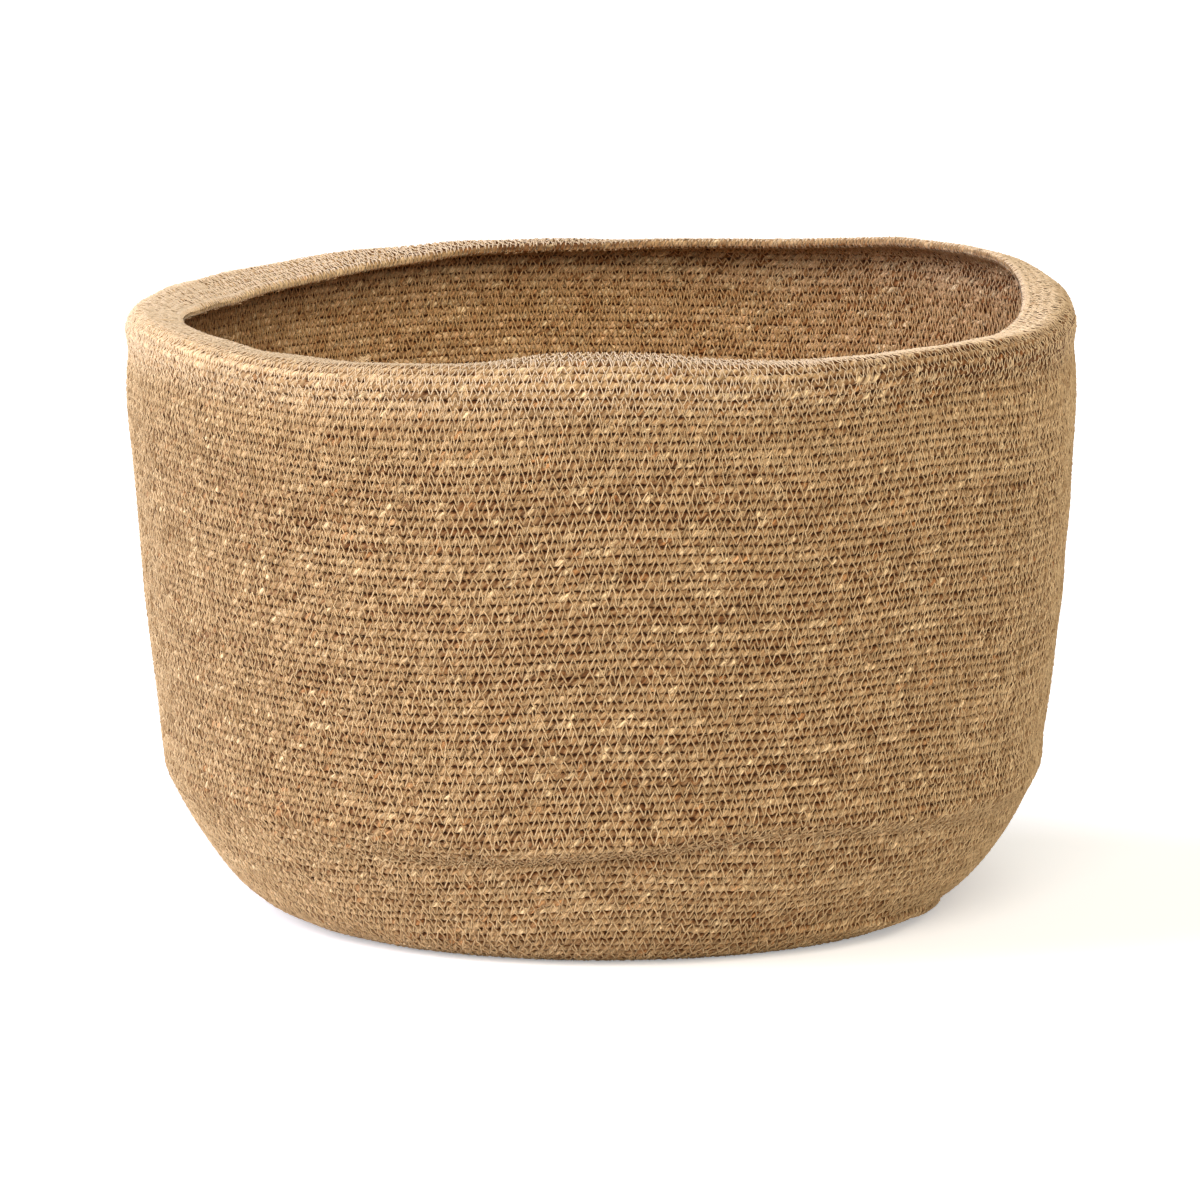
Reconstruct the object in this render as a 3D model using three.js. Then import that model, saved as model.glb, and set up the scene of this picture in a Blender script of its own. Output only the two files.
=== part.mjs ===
// Round coiled basket of twisted seagrass cord, machine-sewn row to row, with a rolled-in rim.
// One cord starts at the middle of the base, winds out as a flat disc, turns up round the heel,
// climbs the wall and turns in again as a lip. Each piece is one stretch of that cord.
// Millimetres, +Z up. The basket stands on z = 0 and its creased front looks towards -Y.
import * as THREE from "three";

// Driving sizes of the cord and its thread
const cordDiameter = 3.6;
const pieceGap = 0.3;
const threadDiameter = 0.8;
const stitchPitch = 4.6;
const stitchHalfWidth = 2.1;

// Driving sizes of the profile, measured along the middle of the cord
const floorRadius = 132;
const footRadius = 27;
const heelLength = 50;
const kinkRadius = 14;
const wallLength = 184;
const shoulderRadius = 8.8;
const lipLength = 15;
const heelLean = 31.5;
const wallLeanLow = 10;
const wallLeanTop = 0.5;

// How far the soft wall strays from a true round. Shares go round from +X, counter-clockwise.
const rimRiseHeight = 5;
const rimRiseShares = [0.5, 0.85, 0.7, -0.24, -0.36, -0.16, -0.48, -0.52,
  -0.3, -0.16, -0.64, -0.16, 0.4, -0.16, 0.12, -0.12];
const rimPushDepth = 2.5;
const rimPushShares = [-0.9, 0.3, 0.2, 0, -0.1, -0.2, -0.3, -1,
  -0.2, 0.1, 0.2, 0, -0.15, 0.1, -0.15, 0.3];
const heelSwellDepth = 3;
const heelSwellShares = [1.2, 0.9, 0.8, 0.65, 0.65, 0.65, 0.65, 0.6,
  0.55, 0.8, 0.65, 0.65, 0.65, 0.65, 0.8, 1];
const heelSwellWidth = 26;
const footDrawDepth = 4;
const footDrawShares = [1.9, 0.4, 0, 0, 0, 0, 0.3, 1, 2.5, 1.9, 0.8, 0.2, 0, 0, 0.1, 1.6];
const footDrawWidth = 22;
const wallDrawDepth = 3;
const wallDrawShares = [0, 0, 0, 0, 0, 0, 0, 0.6, 0.9, 0.6, 0, 0, 0, 0, 0, 0];
const wallDrawWidth = 80;
const neckDepth = 1.4;
const neckWidth = 8;
const neckBelowLength = 7;
const riseFade = 0.8;

// Tilt of the lip in degrees, falling towards the mouth, at the same places
const lipTilts = [-4, -16, -12, -9, -3, 6, 16, 20, 15, 12, 6, 6, -8, 1, 10, 8];
const lipBlendLength = 6;

// The crease in the lower front wall: its strength, and how far below the heel's top it runs
const creaseStrengthShares = [0, 0, 0, 0, 0, 0, 0, 0, 0, 0, 0.15, 0.85, 1, 0.85, 0.6, 0.3];
const creaseDropLength = 12;
const creaseDropShares = [0.7, 0.7, 0.7, 0.7, 0.7, 0.7, 0.7, 0.7,
  0.7, 0.8, 1, 0.96, 0.75, -0.04, 0.38, 0.42];
const creaseRollHeight = 2.6;
const creaseRollAboveLength = 9;
const creaseRollWidth = 8;
const creaseDepth = 6;
const creaseWidthBelow = 20;
const creaseWidthAbove = 5.5;
const creaseSagHeight = 2;
const creaseSagBelowLength = 1;
const creaseSagAboveLength = 10;

// A smaller crease low on the right, over the foot
const footCreaseStrengthShares = [0.8, 0, 0, 0, 0, 0, 0, 0, 0, 0, 0, 0, 0, 0.1, 0.7, 1];
const footCreaseDropLength = 50;
const footCreaseDropShares = [1.1, 1, 1, 1, 1, 1, 1, 1, 1, 1, 1, 1, 0.84, 0.88, 0.96, 1.06];
const footCreaseRollHeight = 2;
const footCreaseRollBelowLength = 4;
const footCreaseRollWidth = 4;
const footCreaseDepth = 2.2;
const footCreaseWidthBelow = 2.5;
const footCreaseWidthAbove = 9;

// The coil's first turns and the cord's tucked end
const startTurns = 3;
const startSides = 6;
const startStepsPerTurn = 24;
const startGap = 0.5;
const edgeSides = 8;
const edgeStartAngle = 240;
const edgeSweep = 355;
const tailLength = 52;
const tailDipLength = 12;
const tailTipShare = 0.3;

// Counts of facets
const azimuthSteps = 72;
const footSteps = 6;
const heelSteps = 10;
const lowerWallSteps = 3;
const upperWallSteps = 4;
const shoulderSteps = 5;
const lipSteps = 2;
const tailSteps = 12;
const threadSides = 3;

// Sizes worked out from the ones above
const cordRadius = cordDiameter / 2;
const halfGap = pieceGap / 2;
const fullTurn = 2 * Math.PI;
const quarterTurn = fullTurn / 4;
const radians = THREE.MathUtils.degToRad;

// The profile is a chain of straight and round runs, each with a length and a turn
const profileRuns = [
  { length: floorRadius, turn: 0 },
  roundRun(footRadius, quarterTurn - radians(heelLean)),
  { length: heelLength, turn: 0 },
  roundRun(kinkRadius, radians(heelLean - wallLeanLow)),
  { length: wallLength, turn: radians(wallLeanLow - wallLeanTop) },
  roundRun(shoulderRadius, quarterTurn + radians(wallLeanTop)),
  { length: lipLength, turn: 0 },
];
const runEnds = [];
let runSum = 0;
for (const run of profileRuns) {
  runSum += run.length;
  runEnds.push(runSum);
}
const [floorEnd, footEnd, heelEnd, kinkEnd, wallEnd, shoulderEnd, lipEnd] = runEnds;
const wallMiddle = (kinkEnd + wallEnd) / 2;
const rimHeight = profileAt(shoulderEnd).z;

function roundRun(radius, turn) {
  return { length: radius * turn, turn };
}

// Point and outward normal of the plain round profile at a distance along the cord's middle
function profileAt(distance) {
  let r = 0;
  let z = cordRadius;
  let angle = 0;
  let left = distance;
  for (const [index, run] of profileRuns.entries()) {
    const last = index === profileRuns.length - 1;
    const part = last ? left : Math.min(left, run.length);
    const turned = run.turn * (part / run.length);
    if (run.turn === 0) {
      r += part * Math.cos(angle);
      z += part * Math.sin(angle);
    } else {
      const radius = run.length / run.turn;
      r += radius * (Math.sin(angle + turned) - Math.sin(angle));
      z -= radius * (Math.cos(angle + turned) - Math.cos(angle));
    }
    angle += turned;
    left -= part;
    if (left <= 0) break;
  }
  return { r, z, outR: Math.sin(angle), outZ: -Math.cos(angle) };
}

// A smooth closed wave through evenly spaced values
function waveAt(values, azimuth) {
  const count = values.length;
  const place = (((azimuth / fullTurn) % 1) + 1) % 1 * count;
  const index = Math.floor(place);
  const t = place - index;
  const [a, b, c, d] = [-1, 0, 1, 2].map((step) => values[(index + step + count) % count]);
  const slope = c - a;
  const bend = 2 * a - 5 * b + 4 * c - d;
  const twist = 3 * b - a - 3 * c + d;
  return (2 * b + slope * t + bend * t ** 2 + twist * t ** 3) / 2;
}

function bell(distance, spread) {
  return Math.exp(-((distance / spread) ** 2));
}

// The main crease: a roll that hangs over a sharp groove, and the wall above it sags a little
function mainCrease(azimuth, distance) {
  const strength = Math.max(0, waveAt(creaseStrengthShares, azimuth));
  const above = distance - heelEnd + creaseDropLength * waveAt(creaseDropShares, azimuth);
  const grooveWidth = above < 0 ? creaseWidthBelow : creaseWidthAbove;
  const roll = creaseRollHeight * bell(above - creaseRollAboveLength, creaseRollWidth);
  const groove = creaseDepth * Math.exp(-Math.abs(above) / grooveWidth);
  const sinking = THREE.MathUtils.smoothstep(above, -creaseSagBelowLength, creaseSagAboveLength);
  const fading = 1 - THREE.MathUtils.smoothstep(distance, heelEnd, wallEnd);
  return { outward: strength * (roll - groove), sag: creaseSagHeight * strength * sinking * fading };
}

// How far the crease over the foot moves the wall in or out
function footCrease(azimuth, distance) {
  const strength = Math.max(0, waveAt(footCreaseStrengthShares, azimuth));
  const above = distance - heelEnd + footCreaseDropLength * waveAt(footCreaseDropShares, azimuth);
  const grooveWidth = above < 0 ? footCreaseWidthBelow : footCreaseWidthAbove;
  const roll = footCreaseRollHeight * bell(above + footCreaseRollBelowLength, footCreaseRollWidth);
  return strength * (roll - footCreaseDepth * Math.exp(-Math.abs(above) / grooveWidth));
}

// The basket's own surface: azimuth, distance along the profile, height above the cord's middle
function surfacePoint(azimuth, distance, offset) {
  const plain = profileAt(distance);
  const level = Math.max(0, (plain.z - cordRadius) / (rimHeight - cordRadius));
  const upWall = THREE.MathUtils.smoothstep(distance, footEnd, wallEnd);
  const heelMiddle = (footEnd + heelEnd) / 2;
  let r = plain.r + rimPushDepth * waveAt(rimPushShares, azimuth) * upWall;
  r += heelSwellDepth * waveAt(heelSwellShares, azimuth) * bell(distance - heelMiddle, heelSwellWidth);
  r -= footDrawDepth * waveAt(footDrawShares, azimuth) * bell(distance - floorEnd, footDrawWidth);
  r -= wallDrawDepth * waveAt(wallDrawShares, azimuth) * bell(distance - wallMiddle, wallDrawWidth);
  r -= neckDepth * bell(distance - wallEnd + neckBelowLength, neckWidth);
  const crease = mainCrease(azimuth, distance);
  r += crease.outward + footCrease(azimuth, distance);
  let z = plain.z - crease.sag + rimRiseHeight * waveAt(rimRiseShares, azimuth) * level ** riseFade;
  const shoulderMiddle = (wallEnd + shoulderEnd) / 2;
  const overLip = Math.max(0, distance - shoulderMiddle);
  const tilt = Math.tan(radians(waveAt(lipTilts, azimuth)));
  const lipStart = shoulderEnd - lipBlendLength;
  z -= overLip * tilt * THREE.MathUtils.smoothstep(distance, lipStart, shoulderEnd);
  r += offset * plain.outR;
  z += offset * plain.outZ;
  return new THREE.Vector3(r * Math.cos(azimuth), r * Math.sin(azimuth), z);
}

// A closed body through rings of points, either round on itself or capped at both ends
function bodyThrough(rings, closed) {
  const count = rings[0].length;
  const positions = rings.flat().flatMap((point) => point.toArray());
  const faces = [];
  const spans = closed ? rings.length : rings.length - 1;
  for (let i = 0; i < spans; i += 1) {
    const here = i * count;
    const next = ((i + 1) % rings.length) * count;
    for (let j = 0; j < count; j += 1) {
      const k = (j + 1) % count;
      faces.push(here + j, next + j, next + k, here + j, next + k, here + k);
    }
  }
  if (!closed) {
    const lastRing = (rings.length - 1) * count;
    for (let j = 1; j < count - 1; j += 1) {
      faces.push(0, j, j + 1);
      faces.push(lastRing, lastRing + j + 1, lastRing + j);
    }
  }
  const geometry = new THREE.BufferGeometry();
  geometry.setAttribute("position", new THREE.Float32BufferAttribute(positions, 3));
  geometry.setIndex(faces);
  geometry.computeVertexNormals();
  return geometry;
}

// A band of the wall between two distances, one cord thick, with a joint gap at each end
function bandBetween(start, end, steps) {
  const distances = [];
  const length = end - start - pieceGap;
  for (let i = 0; i <= steps; i += 1) distances.push(start + halfGap + length * (i / steps));
  const rings = [];
  for (let i = 0; i < azimuthSteps; i += 1) {
    const azimuth = fullTurn * (i / azimuthSteps);
    const outside = distances.map((distance) => surfacePoint(azimuth, distance, cordRadius));
    const inside = distances.map((distance) => surfacePoint(azimuth, distance, -cordRadius));
    rings.push([...outside, ...inside.reverse()]);
  }
  return bodyThrough(rings, true);
}

// A tube that follows the basket's surface. Its path gives azimuth, distance, height and radius.
function tubeOnSurface(path, steps, sides) {
  const rings = [];
  for (let i = 0; i <= steps; i += 1) {
    const { azimuth, distance, height, radius } = path(i / steps);
    const ring = [];
    for (let j = 0; j < sides; j += 1) {
      const round = fullTurn * (j + 0.5) / sides;
      const across = distance + radius * Math.sin(round);
      ring.push(surfacePoint(azimuth, across, height + radius * Math.cos(round)));
    }
    rings.push(ring);
  }
  return bodyThrough(rings, false);
}

// The first turns of the coil, a tube a little thinner than the row pitch so that turns part
const startRadius = (cordDiameter - startGap) / 2;
const startInnerRadius = cordDiameter;
const startAngle = fullTurn * startTurns;
const startSteps = startTurns * startStepsPerTurn;
const startEndRadius = startInnerRadius + cordDiameter * startTurns;

function startCentre(turned) {
  const r = startInnerRadius + cordDiameter * (turned / fullTurn);
  return new THREE.Vector3(r * Math.cos(turned), r * Math.sin(turned), cordRadius);
}

function coilStart() {
  const rings = [];
  const up = new THREE.Vector3(0, 0, 1);
  for (let i = 0; i <= startSteps; i += 1) {
    const turned = startAngle * (i / startSteps);
    const centre = startCentre(turned);
    const outward = new THREE.Vector3(Math.cos(turned), Math.sin(turned), 0);
    const ring = [];
    for (let j = 0; j < startSides; j += 1) {
      const round = fullTurn * (j + 0.5) / startSides;
      const side = outward.clone().multiplyScalar(startRadius * Math.cos(round));
      ring.push(centre.clone().add(side).addScaledVector(up, startRadius * Math.sin(round)));
    }
    rings.push(ring);
  }
  return bodyThrough(rings, false);
}

// Least gap between neighbouring turns, measured between points of the tube's middle line
function leastStartGap() {
  let least = Infinity;
  for (let i = 0; i <= startSteps; i += 1) {
    for (let j = i + startStepsPerTurn / 2; j <= startSteps; j += 1) {
      const here = startCentre(startAngle * (i / startSteps));
      const there = startCentre(startAngle * (j / startSteps));
      least = Math.min(least, here.distanceTo(there));
    }
  }
  return least - 2 * startRadius;
}
console.log(`least gap between the first turns ${leastStartGap().toFixed(2)} mm`);

// The flat base, with a spiral hole that the first turns fill and a step where the cord goes on
function baseDisc() {
  const outline = new THREE.Shape();
  for (let i = 0; i < azimuthSteps; i += 1) {
    const point = surfacePoint(fullTurn * (i / azimuthSteps), floorEnd - halfGap, 0);
    if (i === 0) outline.moveTo(point.x, point.y);
    else outline.lineTo(point.x, point.y);
  }
  outline.closePath();
  const hole = new THREE.Path();
  const holeClearance = startRadius + pieceGap;
  for (let i = 0; i <= startStepsPerTurn; i += 1) {
    const share = i / startStepsPerTurn;
    const backTurn = startAngle + fullTurn * (share - 1);
    const endGapAngle = i === startStepsPerTurn ? pieceGap / startEndRadius : 0;
    const centre = startCentre(backTurn);
    const r = Math.hypot(centre.x, centre.y) + holeClearance;
    const x = r * Math.cos(backTurn + endGapAngle);
    const y = r * Math.sin(backTurn + endGapAngle);
    if (i === 0) hole.moveTo(x, y);
    else hole.lineTo(x, y);
  }
  const stepAngle = startAngle + pieceGap / startEndRadius;
  const stepRadius = startEndRadius - cordDiameter + holeClearance;
  hole.lineTo(stepRadius * Math.cos(stepAngle), stepRadius * Math.sin(stepAngle));
  hole.closePath();
  outline.holes.push(hole);
  return new THREE.ExtrudeGeometry(outline, { depth: cordDiameter, bevelEnabled: false });
}

// The last row of cord, a separate round edge along the lip, open where its end is tucked in
const edgeDistance = lipEnd - cordRadius;

function edgeRow() {
  return tubeOnSurface((share) => ({
    azimuth: radians(edgeStartAngle + edgeSweep * share),
    distance: edgeDistance,
    height: 0,
    radius: cordRadius,
  }), azimuthSteps, edgeSides);
}

// The cut end of the cord, which dips under the lip and tapers off against its underside
function cordTail() {
  const mouthRadius = profileAt(edgeDistance).r;
  const firstAngle = radians(edgeStartAngle + edgeSweep) + pieceGap / mouthRadius;
  const dipShare = tailDipLength / tailLength;
  const under = -(cordDiameter + pieceGap);
  return tubeOnSurface((share) => {
    const dipped = THREE.MathUtils.smoothstep(share, 0, dipShare);
    const inward = THREE.MathUtils.smoothstep(share, dipShare, 1);
    return {
      azimuth: firstAngle + (tailLength / mouthRadius) * share,
      distance: edgeDistance - cordDiameter * inward,
      height: under * dipped,
      radius: cordRadius * THREE.MathUtils.lerp(1, tailTipShare, inward),
    };
  }, tailSteps, edgeSides);
}

// The needle thread of the last seam, a zigzag that binds the edge row to the lip
function edgeSeamThread() {
  const seam = lipEnd - cordDiameter;
  const seamLength = fullTurn * profileAt(seam).r;
  const stitches = Math.round(seamLength / stitchPitch);
  const threadRadius = threadDiameter / 2;
  const height = cordRadius + pieceGap + threadRadius;
  const strokeAngle = Math.atan(stitchPitch / 2 / (2 * stitchHalfWidth));
  const mitre = threadRadius / Math.sin(strokeAngle);
  const rings = [];
  for (let i = 0; i < 2 * stitches; i += 1) {
    const azimuth = fullTurn * (i / (2 * stitches));
    const side = i % 2 === 0 ? 1 : -1;
    const distance = seam + side * stitchHalfWidth;
    const ring = [];
    for (let j = 0; j < threadSides; j += 1) {
      const round = fullTurn * j / threadSides;
      const across = distance + mitre * Math.sin(round);
      ring.push(surfacePoint(azimuth, across, height + threadRadius * Math.cos(round)));
    }
    rings.push(ring);
  }
  return bodyThrough(rings, true);
}

// Finishes
function grass(colour, roughness) {
  return new THREE.MeshStandardMaterial({ color: colour, roughness, metalness: 0 });
}
const wallGrass = 0xc09766;
const shadeGrass = 0xa87f52;
const rimGrass = 0xcaa679;
const cottonThread = 0xd8b98c;
const grassRoughness = 0.85;
const threadRoughness = 0.7;

// The pieces, from the middle of the base to the edge of the lip
const basket = new THREE.Group();

function addPiece(name, geometry, colour, roughness) {
  const piece = new THREE.Mesh(geometry, grass(colour, roughness));
  piece.name = name;
  basket.add(piece);
}

addPiece("coil_start", coilStart(), shadeGrass, grassRoughness);
addPiece("base_disc", baseDisc(), shadeGrass, grassRoughness);
const footBand = bandBetween(floorEnd, footEnd, footSteps);
const heelBand = bandBetween(footEnd, kinkEnd, heelSteps);
const lowerWallBand = bandBetween(kinkEnd, wallMiddle, lowerWallSteps);
const upperWallBand = bandBetween(wallMiddle, wallEnd, upperWallSteps);
const shoulderBand = bandBetween(wallEnd, shoulderEnd, shoulderSteps);
const lipBand = bandBetween(shoulderEnd, lipEnd - cordDiameter, lipSteps);
addPiece("foot_bend", footBand, wallGrass, grassRoughness);
addPiece("heel", heelBand, wallGrass, grassRoughness);
addPiece("lower_wall", lowerWallBand, wallGrass, grassRoughness);
addPiece("upper_wall", upperWallBand, wallGrass, grassRoughness);
addPiece("rim_shoulder", shoulderBand, rimGrass, grassRoughness);
addPiece("rim_lip", lipBand, rimGrass, grassRoughness);
addPiece("edge_row", edgeRow(), rimGrass, grassRoughness);
addPiece("cord_tail", cordTail(), rimGrass, grassRoughness);
addPiece("edge_seam_thread", edgeSeamThread(), cottonThread, threadRoughness);

// The origin is the middle of the basket's own box, on the floor
const box = new THREE.Box3().setFromObject(basket);
const middle = box.getCenter(new THREE.Vector3());
basket.position.set(-middle.x, -middle.y, 0);

export default basket;
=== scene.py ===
import math

import bpy
import numpy as np
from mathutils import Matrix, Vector


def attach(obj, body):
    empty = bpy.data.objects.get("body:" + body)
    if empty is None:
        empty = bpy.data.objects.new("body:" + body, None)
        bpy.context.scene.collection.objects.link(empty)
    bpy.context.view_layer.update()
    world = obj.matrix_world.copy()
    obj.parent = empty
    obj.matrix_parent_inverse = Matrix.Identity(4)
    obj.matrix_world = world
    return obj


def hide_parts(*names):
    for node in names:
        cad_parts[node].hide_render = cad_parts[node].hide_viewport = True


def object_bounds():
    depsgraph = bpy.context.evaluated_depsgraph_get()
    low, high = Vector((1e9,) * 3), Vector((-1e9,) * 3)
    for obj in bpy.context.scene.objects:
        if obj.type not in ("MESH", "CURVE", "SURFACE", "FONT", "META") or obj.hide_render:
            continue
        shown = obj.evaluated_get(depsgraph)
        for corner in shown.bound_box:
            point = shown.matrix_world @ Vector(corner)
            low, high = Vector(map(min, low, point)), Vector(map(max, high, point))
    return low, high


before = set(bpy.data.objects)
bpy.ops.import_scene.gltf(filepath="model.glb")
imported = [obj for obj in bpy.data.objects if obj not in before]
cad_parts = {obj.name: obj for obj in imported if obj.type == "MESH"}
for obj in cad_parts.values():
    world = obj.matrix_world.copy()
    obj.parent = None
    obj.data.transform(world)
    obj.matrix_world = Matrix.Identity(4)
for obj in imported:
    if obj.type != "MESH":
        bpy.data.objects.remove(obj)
cadLow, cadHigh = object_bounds()
mm = 0.001
fullTurn = 2 * math.pi
print("frame loaded, nodes:", len(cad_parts))

# Another seed gives another basket of the same kind
seeds = {
    "wander": 11,
    "swell": 12,
    "lay": 21,
    "thickness": 22,
    "batch": 23,
    "run": 24,
    "lump": 31,
    "paleZone": 32,
    "russetZone": 33,
    "gape": 34,
    "paleRun": 35,
    "stitch": 41,
    "stitchZone": 42,
    "stitchMiddle": 43,
    "threadShade": 44,
    "binding": 51,
    "firstFibre": 61,       # every kind of loose fibre has the next one
}

# The basket's own shape: a profile along the middle of the cord, made of straight and round runs
profile = {
    "cordDiameter": 3.6,
    "floorRadius": 132,
    "footRadius": 27,
    "heelLength": 50,
    "kinkRadius": 14,
    "wallLength": 184,
    "shoulderRadius": 8.8,
    "lipLength": 15,
    "heelLean": 31.5,
    "wallLeanLow": 10,
    "wallLeanTop": 0.5,
}

# How the soft wall strays from a true round. Shares go round from +X, counter-clockwise.
softWall = {
    "rimRise": 5,
    "rimRiseShares": [0.5, 0.85, 0.7, -0.24, -0.36, -0.16, -0.48, -0.52,
                      -0.3, -0.16, -0.64, -0.16, 0.4, -0.16, 0.12, -0.12],
    "riseFade": 0.8,
    "rimPush": 2.5,
    "rimPushShares": [-0.9, 0.3, 0.2, 0, -0.1, -0.2, -0.3, -1,
                      -0.2, 0.1, 0.2, 0, -0.15, 0.1, -0.15, 0.3],
    "heelSwell": 3,
    "heelSwellShares": [1.2, 0.9, 0.8, 0.65, 0.65, 0.65, 0.65, 0.6,
                        0.55, 0.8, 0.65, 0.65, 0.65, 0.65, 0.8, 1],
    "heelSwellWidth": 26,
    "footDraw": 4,
    "footDrawShares": [1.9, 0.4, 0, 0, 0, 0, 0.3, 1, 2.5, 1.9, 0.8, 0.2, 0, 0, 0.1, 1.6],
    "footDrawWidth": 22,
    "wallDraw": 3,
    "wallDrawShares": [0, 0, 0, 0, 0, 0, 0, 0.6, 0.9, 0.6, 0, 0, 0, 0, 0, 0],
    "wallDrawWidth": 80,
    "neckDepth": 1.4,
    "neckWidth": 8,
    "neckBelow": 7,
    "lipTilts": [-4, -16, -12, -9, -3, 6, 16, 20, 15, 12, 6, 6, -8, 1, 10, 8],
    "lipBlend": 6,
}

# Creases pressed into the soft wall, each a roll beside a sharp groove that follows a line round it
creases = [{
    "strengthShares": [0, 0, 0, 0, 0, 0, 0, 0, 0, 0, 0, 0.55, 1, 0.85, 0.6, 0.3],
    "drop": 12,             # how far below the heel's top it runs
    "dropShares": [0.7, 0.7, 0.7, 0.7, 0.7, 0.7, 0.7, 0.7, 0.7, 0.8, 1, 0.96, 0.75, -0.04, 0.38, 0.42],
    "roll": 2.6,
    "rollAbove": 9,
    "rollWidth": 8,
    "depth": 6,
    "widthBelow": 20,
    "widthAbove": 5.5,
    "sag": 2,
    "swallowed": 3,         # length of wall that goes into the fold
}, {
    "strengthShares": [0.8, 0, 0, 0, 0, 0, 0, 0, 0, 0, 0, 0, 0, 0.1, 0.7, 1],
    "drop": 50,
    "dropShares": [1.19, 1, 1, 1, 1, 1, 1, 1, 1, 1, 1, 1, 0.9, 0.97, 1.05, 1.14],
    "roll": 2.8,
    "rollAbove": -4,
    "rollWidth": 4,
    "depth": 2.6,
    "widthBelow": 1.3,
    "widthAbove": 9,
    "sag": 0,
    "swallowed": 0,
}]
sagSpan = (-1, 10)          # above the groove: where the wall starts to sag, and where it has sagged
swallowSpan = (-2, 4)       # the same for the length that goes into the fold

# Slow uneven waves, as in all rows that are fed to the machine by hand
unevenness = {
    "wander": 0.22,         # along the wall
    "wanderSize": 55,
    "calmWithin": 40,       # the coil's first rows don't wander
    "swell": 0.22,          # in and out
    "swellSize": 45,
    "rowWave": 2.7,         # the rows' own wave, up and down the wall
    "rowWaveShares": [0, 0, 0, 0, 0, 0, 0, 0, 0, 0, -0.1, -1, 0.1, 0.55, 0.2, -1.1],
    "waveFromKink": 20,
    "waveFadeLength": 25,
}

cordRadius = profile["cordDiameter"] / 2
leanRadians = {key: math.radians(profile[key]) for key in ("heelLean", "wallLeanLow", "wallLeanTop")}


def roundRun(radius, turn):
    return radius * turn, turn


profileRuns = [
    (profile["floorRadius"], 0),
    roundRun(profile["footRadius"], math.pi / 2 - leanRadians["heelLean"]),
    (profile["heelLength"], 0),
    roundRun(profile["kinkRadius"], leanRadians["heelLean"] - leanRadians["wallLeanLow"]),
    (profile["wallLength"], leanRadians["wallLeanLow"] - leanRadians["wallLeanTop"]),
    roundRun(profile["shoulderRadius"], math.pi / 2 + leanRadians["wallLeanTop"]),
    (profile["lipLength"], 0),
]
floorEnd, footEnd, heelEnd, kinkEnd, wallEnd, shoulderEnd, lipEnd = np.cumsum(
    [length for length, turn in profileRuns])
wallMiddle = (kinkEnd + wallEnd) / 2
edgeDistance = lipEnd - cordRadius


def profileAt(distance):
    left = np.asarray(distance, float)
    r, z, angle = np.zeros_like(left), np.full_like(left, cordRadius), np.zeros_like(left)
    for index, (length, turn) in enumerate(profileRuns):
        last = index == len(profileRuns) - 1
        part = left if last else np.minimum(left, length)
        turned = turn * part / length
        if turn == 0:
            r = r + part * np.cos(angle)
            z = z + part * np.sin(angle)
        else:
            radius = length / turn
            r = r + radius * (np.sin(angle + turned) - np.sin(angle))
            z = z - radius * (np.cos(angle + turned) - np.cos(angle))
        angle = angle + turned
        left = left - part
    return r, z, angle


rimHeight = float(profileAt(shoulderEnd)[1])


def smoothBetween(x, low, high):
    t = np.clip((x - low) / (high - low), 0, 1)
    return t * t * (3 - 2 * t)


def bell(x, width):
    return np.exp(-((x / width) ** 2))


def waveAt(values, azimuth):
    # A smooth line through values that stand evenly round the basket
    values = np.asarray(values, float)
    place = (azimuth / fullTurn) % 1 * len(values)
    index = np.floor(place).astype(int)
    t = place - index
    a, b, c, d = (values[(index + step) % len(values)] for step in (-1, 0, 1, 2))
    bend = 2 * a - 5 * b + 4 * c - d
    twist = 3 * b - a - 3 * c + d
    return (2 * b + (c - a) * t + bend * t ** 2 + twist * t ** 3) / 2


def sharedOut(values, name, azimuth):
    # A measure times its share at each place round the basket
    return values[name] * waveAt(values[name + "Shares"], azimuth)


def creasePlace(crease, azimuth, distance):
    strength = np.maximum(0, waveAt(crease["strengthShares"], azimuth))
    return strength, distance - heelEnd + sharedOut(crease, "drop", azimuth)


def creaseAt(azimuth, distance):
    outward, sag = 0, 0
    for crease in creases:
        strength, above = creasePlace(crease, azimuth, distance)
        roll = crease["roll"] * bell(above - crease["rollAbove"], crease["rollWidth"])
        grooveWidth = np.where(above < 0, crease["widthBelow"], crease["widthAbove"])
        groove = crease["depth"] * np.exp(-np.abs(above) / grooveWidth)
        outward = outward + strength * (roll - groove)
        sinks = smoothBetween(above, *sagSpan) * (1 - smoothBetween(distance, heelEnd, wallEnd))
        sag = sag + crease["sag"] * strength * sinks
    return outward, sag


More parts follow.
